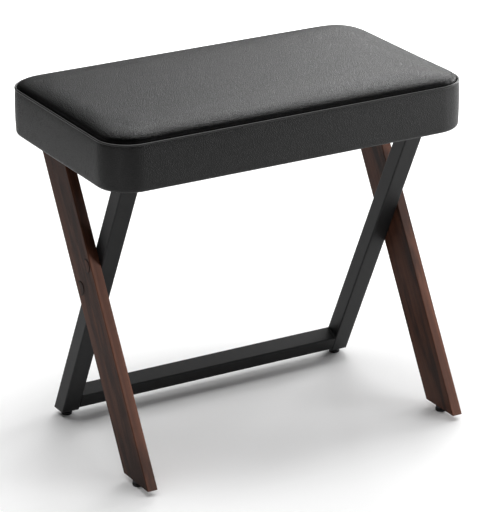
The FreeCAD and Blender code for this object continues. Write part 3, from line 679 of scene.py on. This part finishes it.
def disc_gap_shade_group():
    """Painted shade in the gap where a wooden disc meets the board round it."""
    tree, entry, leave = new_group(
        "disc_gap_shade", [("Place", (0.0, 0.0, 0.0))], [("Mask", "NodeSocketFloat")])
    masks = []
    for centre_y, centre_z in DISC_CENTRES:
        centre = (0.0, centre_y, centre_z)
        moved = with_second(tree, "ShaderNodeVectorMath", "SUBTRACT", centre)
        link(tree, entry, "Place", moved, 0)
        flat = with_second(tree, "ShaderNodeVectorMath", "MULTIPLY", (0.0, 1.0, 1.0))
        link(tree, moved, "Vector", flat, 0)
        away = node(tree, "ShaderNodeVectorMath", operation="LENGTH")
        link(tree, flat, "Vector", away, 0)
        past = with_second(tree, "ShaderNodeMath", "SUBTRACT", DISC_RADIUS)
        link(tree, away, "Value", past, 0)
        gap = node(tree, "ShaderNodeMath", operation="ABSOLUTE")
        link(tree, past, "Value", gap, 0)
        mask = map_range(tree, (0.0, DISC_SHADE_WIDTH), (DISC_SHADE_DEPTH, 0.0), smooth=True)
        link(tree, gap, "Value", mask, "Value")
        masks.append(mask)
    both = node(tree, "ShaderNodeMath", operation="MAXIMUM")
    link(tree, masks[0], "Result", both, 0)
    link(tree, masks[1], "Result", both, 1)
    link(tree, both, "Value", leave, "Mask")
    return tree


PEBBLE = pebble_group()
SPECKLE = speckle_group()
WOOD = wood_group()
# painted shade in the gap round each disc
DISC_GAP_SHADE = disc_gap_shade_group()


LEATHER_SPREAD = 0.16       # how much rougher the creases are
SPECKLE_SPREAD = 0.08
WOOD_SPREAD = 0.12
WOOD_SHINE = 0.15
STREAK_DARK = (0.76, 0.74, 0.73)
STREAK_LIGHT = (1.13, 1.11, 1.09)
FIGURE_SHARE, FIGURE_SHADE = 0.85, 0.3      # strength, and share of the dark tone
PORE_SHARE, PORE_SHADE = 0.6, 0.5
# share of the dark tone used for the painted shade round each disc
DISC_SHADE_SHARE = 0.12
PORE_RELIEF = -0.8


def leather(name, base, light, cells, depth, rough, shine=0.34):
    """Pebbled leather with slow clouds of tone and rougher creases."""
    material, tree, shader = new_material(name)
    place = object_place(tree)
    grain = use_group(tree, PEBBLE, Cells=cells)
    link(tree, place, "Vector", grain, "Place")
    cloud = node(tree, "ShaderNodeTexNoise", Scale=9.0, Detail=3.0)
    link(tree, place, "Vector", cloud, "Vector")
    tone = ramp(tree, [(0.35, base), (0.7, light)])
    link(tree, cloud, "Fac", tone, "Fac")
    link(tree, tone, "Color", shader, "Base Color")
    gloss = map_range(tree, end=(rough, rough + LEATHER_SPREAD))
    link(tree, grain, "Crease", gloss, "Value")
    link(tree, gloss, "Result", shader, "Roughness")
    bump = node(tree, "ShaderNodeBump", Strength=0.9, Distance=depth)
    link(tree, grain, "Height", bump, "Height")
    link(tree, bump, "Normal", shader, "Normal")
    shader.inputs["Specular IOR Level"].default_value = shine
    return material


def speckled(name, base, light, rough, size, depth, metallic=0.0, shine=0.3):
    """Powder coat, plastic, rubber and plated steel."""
    material, tree, shader = new_material(name)
    place = object_place(tree)
    texture = use_group(tree, SPECKLE, Size=size)
    link(tree, place, "Vector", texture, "Place")
    tone = ramp(tree, [(0.3, base), (0.75, light)])
    link(tree, texture, "Cloud", tone, "Fac")
    link(tree, tone, "Color", shader, "Base Color")
    gloss = map_range(tree, end=(rough - SPECKLE_SPREAD / 2, rough + SPECKLE_SPREAD / 2))
    link(tree, texture, "Cloud", gloss, "Value")
    link(tree, gloss, "Result", shader, "Roughness")
    shader.inputs["Metallic"].default_value = metallic
    shader.inputs["Specular IOR Level"].default_value = shine
    bump = node(tree, "ShaderNodeBump", Strength=0.35, Distance=depth)
    link(tree, texture, "Height", bump, "Height")
    link(tree, bump, "Normal", shader, "Normal")
    return material


def wood(name, dark, middle, light, turn, shift, rings=60.0, rough=0.5):
    """Matt lacquered wood whose grain runs along the turned Z axis."""
    material, tree, shader = new_material(name)
    place = object_place(tree, turn=turn, shift=shift)
    grain = use_group(tree, WOOD, Rings=rings)
    link(tree, place, "Vector", grain, "Place")
    ring_tone = ramp(tree, [(0.05, light), (0.95, dark), (0.5, middle)])
    link(tree, grain, "Tone", ring_tone, "Fac")
    streak_tone = ramp(tree, [(0.34, STREAK_DARK), (0.64, STREAK_LIGHT)])
    link(tree, grain, "Streak", streak_tone, "Fac")
    shade = node(tree, "ShaderNodeMix", data_type="RGBA", blend_type="MULTIPLY")
    shade.inputs["Factor"].default_value = 1.0
    link(tree, ring_tone, "Color", shade, "A")
    link(tree, streak_tone, "Color", shade, "B")

    # dark patches, then pores, then painted shade in the gap round each disc
    figure = with_second(tree, "ShaderNodeMath", "MULTIPLY", FIGURE_SHARE)
    link(tree, grain, "Figure", figure, 0)
    figured = darken(tree, shade, "Result", figure, "Value", dark, FIGURE_SHADE)
    pore = with_second(tree, "ShaderNodeMath", "MULTIPLY", PORE_SHARE)
    link(tree, grain, "Pore", pore, 0)
    pored = darken(tree, figured, "Result", pore, "Value", dark, PORE_SHADE)
    # painted shade in the gap round each disc
    disc_shade = use_group(tree, DISC_GAP_SHADE)
    link(tree, object_place(tree), "Vector", disc_shade, "Place")
    disc_shaded = darken(tree, pored, "Result", disc_shade, "Mask", dark, DISC_SHADE_SHARE)
    link(tree, disc_shaded, "Result", shader, "Base Color")

    gloss = map_range(tree, end=(rough, rough + WOOD_SPREAD))
    link(tree, grain, "Streak", gloss, "Value")
    link(tree, gloss, "Result", shader, "Roughness")
    relief = with_second(tree, "ShaderNodeMath", "MULTIPLY_ADD", PORE_RELIEF)
    link(tree, grain, "Pore", relief, 0)
    link(tree, grain, "Streak", relief, 2)
    bump = node(tree, "ShaderNodeBump", Strength=0.3, Distance=0.2 * MM)
    link(tree, relief, "Value", bump, "Height")
    link(tree, bump, "Normal", shader, "Normal")
    shader.inputs["Specular IOR Level"].default_value = WOOD_SHINE
    return material


# ------------------------------------------------------------ floor, light

FLOOR_SIZE = 14
FLOOR_PAINT = (0.9, 0.9, 0.9, 1)
# the floor's glow sets in between two distances from the middle: near the bench
# they are measured in half seats, far from it in metres
NEAR_SPAN = (0.9, 1.9)
# painted light: seen by the camera alone, it lifts the floor just round the bench's shadow
NEAR_PAINTED_LIGHT = 0.17
FAR_SPAN = (0.9, 2.4)
FAR_GLOW = 1.0
BACKDROP_LIGHT = 0.03       # what the white backdrop gives to the bench
BACKDROP_SEEN = 1.0         # and to the camera

# name, place, aim, size and watts of each lamp
LAMPS = (
    ("overhead_softbox", (0.4, 0.1, 3.2), (0, 0, 0.2), (4.5, 4.5), 150),
    ("leg_softbox", (1.2, -2.0, 1.4), (0, 0, 0.1), (1.0, 1.0), 60),
    ("back_panel_right", (3.2, 3.2, 2.2), (0, 0, 0.45), (2.2, 1.2), 66),
    ("back_panel_middle", (1.9, 3.6, 3.3), (0, 0, 0.45), (2.0, 1.2), 36),
    ("front_softbox", (1.8, -1.5, 0.7), (0.2, 0, 0.4), (0.9, 0.9), 3),
    ("right_strip", (0.9, -0.75, 0.42), (0.2, -0.16, 0.44), (0.3, 0.5), 3.8),
    ("corner_strip", (-1.25, -0.85, 0.25), (-0.25, -0.13, 0.44), (0.2, 0.5), 1.8),
    ("side_softbox", (2.2, 0.4, 0.9), (0.2, 0, 0.4), (1.0, 1.0), 20))


def fade_in(tree, stretch, span, most):
    """A value that grows from nothing with distance from the middle."""
    away = node(tree, "ShaderNodeVectorMath", operation="LENGTH")
    link(tree, object_place(tree, stretch=stretch), "Vector", away, 0)
    fade = map_range(tree, span, (0.0, most), smooth=True)
    link(tree, away, "Value", fade, "Value")
    return fade


def make_floor():
    """Pale floor that goes over into the white backdrop away from the bench, with painted
    light, seen by the camera alone, lifting it round the bench's shadow.
    """
    deselect_all()
    bpy.ops.mesh.primitive_plane_add(size=FLOOR_SIZE, location=(0, 0, 0))
    floor = bpy.context.object
    floor.name = "studio_floor"
    material, tree, shader = new_material("studio_floor_paint")
    shader.inputs["Base Color"].default_value = FLOOR_PAINT
    shader.inputs["Roughness"].default_value = 0.9
    shader.inputs["Specular IOR Level"].default_value = 0.1
    # painted light near the bench, seen by the camera alone, lifting the floor round its
    # shadow
    near_painted_light = fade_in(tree, (1 / HALF_X, 1 / HALF_Y, 0), NEAR_SPAN, NEAR_PAINTED_LIGHT)
    far = fade_in(tree, (1, 1, 0), FAR_SPAN, FAR_GLOW)
    glow = node(tree, "ShaderNodeMath", operation="ADD")
    link(tree, near_painted_light, "Result", glow, 0)
    link(tree, far, "Result", glow, 1)
    seen = node(tree, "ShaderNodeLightPath")
    seen_glow = node(tree, "ShaderNodeMath", operation="MULTIPLY")
    link(tree, glow, "Value", seen_glow, 0)
    link(tree, seen, "Is Camera Ray", seen_glow, 1)
    link(tree, seen_glow, "Value", shader, "Emission Color")
    shader.inputs["Emission Strength"].default_value = 1.0
    dress(floor, material)


def area_light(name, place, aim, size, watts):
    light = bpy.data.lights.new(name, "AREA")
    light.shape = "RECTANGLE"
    light.size, light.size_y = size
    light.energy = watts
    lamp = bpy.data.objects.new(name, light)
    bpy.context.scene.collection.objects.link(lamp)
    lamp.location = place
    lamp.rotation_euler = (Vector(aim) - Vector(place)).to_track_quat("-Z", "Y").to_euler()
    return lamp


def flag_off(lamp, pieces):
    """Keep a lamp's light off some pieces, as a flag on a stand does."""
    flagged = bpy.data.collections.new(lamp.name + "_flagged")
    for piece in pieces:
        flagged.objects.link(piece)
    lamp.light_linking.receiver_collection = flagged
    for entry in flagged.collection_objects:
        entry.light_linking.link_state = "EXCLUDE"


def shine_only(lamp, pieces):
    """Keep a lamp's light on some pieces, as a snoot does."""
    lit = bpy.data.collections.new(lamp.name + "_lit")
    for piece in pieces:
        lit.objects.link(piece)
    lamp.light_linking.receiver_collection = lit


def make_lights(cushion, side_leather, wood_pieces):
    """The white backdrop and the lamps, with what is kept off or on a piece."""
    world = bpy.data.worlds.new("studio")
    bpy.context.scene.world = world
    world.use_nodes = True
    backdrop = world.node_tree.nodes["Background"]
    backdrop.inputs["Color"].default_value = (1, 1, 1, 1)
    # the backdrop itself is white, but throws little light back on the bench
    tree = world.node_tree
    seen = node(tree, "ShaderNodeLightPath")
    strength = map_range(tree, end=(BACKDROP_LIGHT, BACKDROP_SEEN))
    link(tree, seen, "Is Camera Ray", strength, "Value")
    link(tree, strength, "Result", backdrop, "Strength")
    lamps = {entry[0]: area_light(*entry) for entry in LAMPS}
    flag_off(lamps["overhead_softbox"], [cushion, side_leather])
    shine_only(lamps["leg_softbox"], wood_pieces)
    shine_only(lamps["right_strip"], [side_leather])
    shine_only(lamps["corner_strip"], [side_leather])
    bpy.context.scene.view_settings.view_transform = "Standard"


# ------------------------------------------------------------------ camera

CAMERA_PLACE = (-1.8435, -3.2848, 1.6989)
CAMERA_TURN = math.radians(29.227)      # to the right of +Y
CAMERA_DIP = math.radians(21.285)       # below the horizon
CAMERA_LEAN = math.radians(-0.47)       # about the line of sight
CAMERA_FILM = 36            # millimetres, as the lens
CAMERA_LENS = 208.9
CAMERA_REACH = 100          # metres


def make_camera():
    """Out in front on the left, looking down at the bench through a long lens."""
    ahead = Vector((math.sin(CAMERA_TURN) * math.cos(CAMERA_DIP),
                    math.cos(CAMERA_TURN) * math.cos(CAMERA_DIP), -math.sin(CAMERA_DIP)))
    level = Vector((math.cos(CAMERA_TURN), -math.sin(CAMERA_TURN), 0))
    above = level.cross(ahead)
    right = level * math.cos(CAMERA_LEAN) + above * math.sin(CAMERA_LEAN)
    up = above * math.cos(CAMERA_LEAN) - level * math.sin(CAMERA_LEAN)
    data = bpy.data.cameras.new("camera")
    data.sensor_width = CAMERA_FILM
    data.lens = CAMERA_LENS
    data.clip_end = CAMERA_REACH
    camera = bpy.data.objects.new("camera", data)
    bpy.context.scene.collection.objects.link(camera)
    turn_matrix = Matrix((right, up, -ahead)).transposed()
    camera.matrix_world = Matrix.Translation(CAMERA_PLACE) @ turn_matrix.to_4x4()
    bpy.context.scene.camera = camera


# ------------------------------------------------------------------- build

def make_materials():
    """One material for each material slot of the record."""
    materials = {
        "seat_leather": leather(
            "black_pebbled_leather", (0.003, 0.003, 0.003), (0.005, 0.005, 0.005),
            cells=420.0, depth=0.22 * MM, rough=0.36),
        "welt_leather": leather(
            "black_piping_leather", (0.005, 0.005, 0.005), (0.007, 0.007, 0.007),
            cells=1500.0, depth=0.03 * MM, rough=0.3, shine=0.6),
        "walnut": wood(
            "walnut_board", (0.062, 0.0225, 0.0125), (0.088, 0.0335, 0.0190),
            (0.099, 0.0390, 0.0230), turn=(BOARD_TILT, 0, 0), shift=(0.03, 0.03, 0),
            rings=17.0),
        "walnut_cap": wood(
            "walnut_bolt_cover", (0.060, 0.0215, 0.012), (0.094, 0.035, 0.020),
            (0.108, 0.0425, 0.025), turn=(BOARD_TILT, 0, 0), shift=(0.11, 0.07, 0.3),
            rings=38.0),
        "plywood": wood(
            "birch_plywood", (0.32, 0.2, 0.11), (0.5, 0.34, 0.2), (0.6, 0.42, 0.26),
            turn=(0, math.radians(90), 0), shift=(0.0, 0.05, 0), rings=900.0, rough=0.6),
        "black_steel": speckled(
            "black_powder_coat", (0.0085, 0.0085, 0.009), (0.012, 0.012, 0.0125),
            rough=0.5, size=1900.0, depth=0.05 * MM, shine=0.24),
        "black_plastic": speckled(
            "black_nylon", (0.014, 0.014, 0.015), (0.02, 0.02, 0.021),
            rough=0.48, size=1400.0, depth=0.03 * MM),
        "black_fastener": speckled(
            "black_oxide_steel", (0.03, 0.03, 0.031), (0.045, 0.045, 0.047),
            rough=0.38, size=2400.0, depth=0.01 * MM, metallic=0.9),
        "zinc_steel": speckled(
            "zinc_plate", (0.5, 0.51, 0.53), (0.62, 0.63, 0.64),
            rough=0.34, size=1600.0, depth=0.01 * MM, metallic=1.0),
        "brass_insert": speckled(
            "turned_brass", (0.55, 0.4, 0.17), (0.68, 0.5, 0.24),
            rough=0.32, size=1600.0, depth=0.01 * MM, metallic=1.0),
        "foot_steel": speckled(
            "black_zinc_plate", (0.05, 0.05, 0.052), (0.08, 0.08, 0.083),
            rough=0.4, size=1800.0, depth=0.01 * MM, metallic=0.8),
        "rubber_sole": speckled(
            "black_rubber", (0.012, 0.012, 0.012), (0.018, 0.018, 0.018),
            rough=0.72, size=900.0, depth=0.06 * MM),
        "dust_cloth": speckled(
            "black_dust_cloth", (0.01, 0.01, 0.01), (0.018, 0.018, 0.018),
            rough=0.9, size=700.0, depth=0.2 * MM)}
    # the foam's own block is replaced by the cushion, so it is never seen
    materials["foam"] = materials["dust_cloth"]
    return materials


make_camera()
make_floor()

seat_top = make_cushion()
seat_side = make_side_band()
seat_welt = make_welt()
dust_cloth = make_dust_cloth()
make_lights(seat_top, seat_side, [NODES[name] for name in WOODEN_NODES])

slot_materials = make_materials()
dress(seat_top, slot_materials["seat_leather"])
dress(seat_side, slot_materials["seat_leather"])
dress(seat_welt, slot_materials["welt_leather"])
dress(dust_cloth, slot_materials["dust_cloth"])
for subpart in frame["record"]["subparts"]:
    dress(NODES[subpart["node"]], slot_materials[subpart["material_slot"]])
